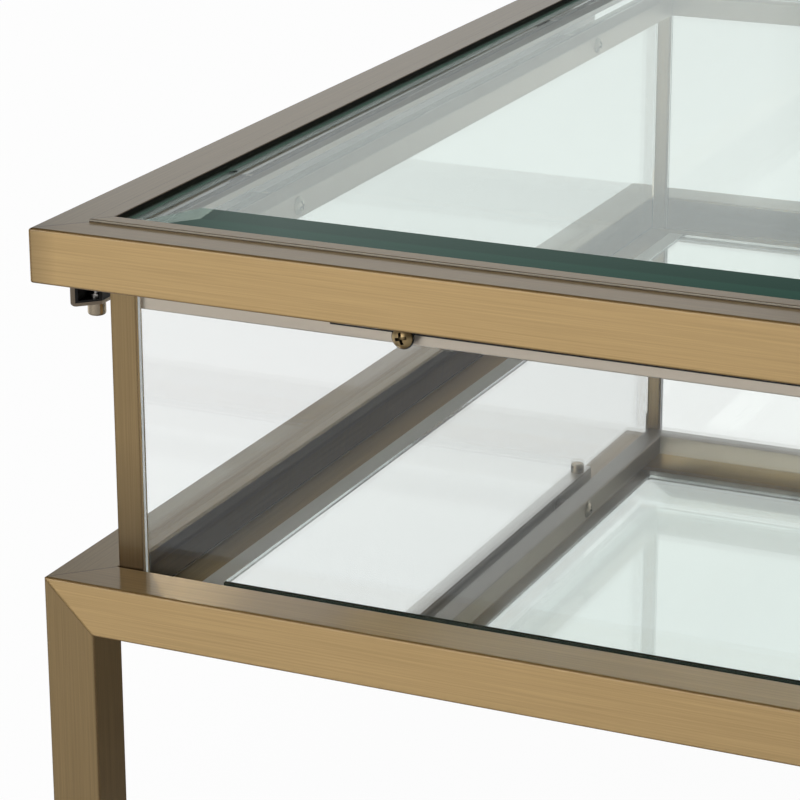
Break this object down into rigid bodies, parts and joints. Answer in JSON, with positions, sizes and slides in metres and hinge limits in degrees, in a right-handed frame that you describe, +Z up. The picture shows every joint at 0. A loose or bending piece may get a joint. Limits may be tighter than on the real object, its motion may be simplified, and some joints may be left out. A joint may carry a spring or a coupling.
{
  "type": "coffee table",
  "caption": "Square display coffee table with a mitred brushed brass tube frame, a clear glass case over a mirror floor and a sliding bevelled glass top.",
  "frame": {"origin": "middle of the table's footprint, on the floor under the foot caps", "axes": "+X to the right seen from the front, +Y towards the back, +Z up; the front is the side with screw heads outside the glass that the picture shows"},
  "size_m": [0.9, 0.9, 0.45],
  "materials": {
    "brushed_brass": "brushed along each tube, lacquered",
    "brass_screws": "satin",
    "grey_bronze": "satin",
    "steel": "satin",
    "clear_glass": "polished, green edges",
    "top_glass": "polished, bevelled edge",
    "mirror": "polished, green edge",
    "taupe_panel": "matt",
    "black_plastic": "matt moulded",
    "black_tape": "matt foam",
    "clear_plastic": "clear"
  },
  "bodies": {
    "base": {"leg_front_left": "brushed_brass", "leg_front_right": "brushed_brass", "leg_back_right": "brushed_brass", "leg_back_left": "brushed_brass", "foot_caps": "black_plastic", "base_rail_front": "brushed_brass", "base_rail_right": "brushed_brass", "base_rail_back": "brushed_brass", "base_rail_left": "brushed_brass", "ledge_bar_front": "brushed_brass", "ledge_bar_right": "brushed_brass", "ledge_bar_back": "brushed_brass", "ledge_bar_left": "brushed_brass", "bottom_panel": "taupe_panel", "mirror_plate": "mirror", "corner_post_front_left": "brushed_brass", "corner_post_front_right": "brushed_brass", "corner_post_back_right": "brushed_brass", "corner_post_back_left": "brushed_brass", "upper_rail_front": "grey_bronze", "upper_rail_right": "grey_bronze", "upper_rail_back": "grey_bronze", "upper_rail_left": "grey_bronze", "side_glass_front": "clear_glass", "side_glass_right": "clear_glass", "side_glass_back": "clear_glass", "side_glass_left": "clear_glass", "glass_tapes_front": "black_tape", "glass_tapes_right": "black_tape", "glass_tapes_back": "black_tape", "glass_tapes_left": "black_tape", "head_washers": "clear_plastic", "pane_screws": "brass_screws", "channel_screws": "brass_screws", "channel_spacers": "black_plastic", "slide_channel_left": "black_plastic", "channel_trim_left": "brushed_brass", "slide_channel_right": "black_plastic", "channel_trim_right": "brushed_brass", "stop_bolts": "steel", "bolt_knobs": "brass_screws"},
    "top": {"top_rail_front": "brushed_brass", "top_rail_right": "brushed_brass", "top_rail_back": "brushed_brass", "top_rail_left": "brushed_brass", "top_lip_front": "brushed_brass", "top_lip_right": "brushed_brass", "top_lip_back": "brushed_brass", "top_lip_left": "brushed_brass", "top_glass": "top_glass", "glass_pads": "clear_plastic", "slide_glides": "black_plastic"}
  },
  "joints": [
    {"name": "top_slide", "type": "slide", "parent": "base", "child": "top", "axis": [0, 1, 0], "range_m": [0, 0.24]}
  ]
}
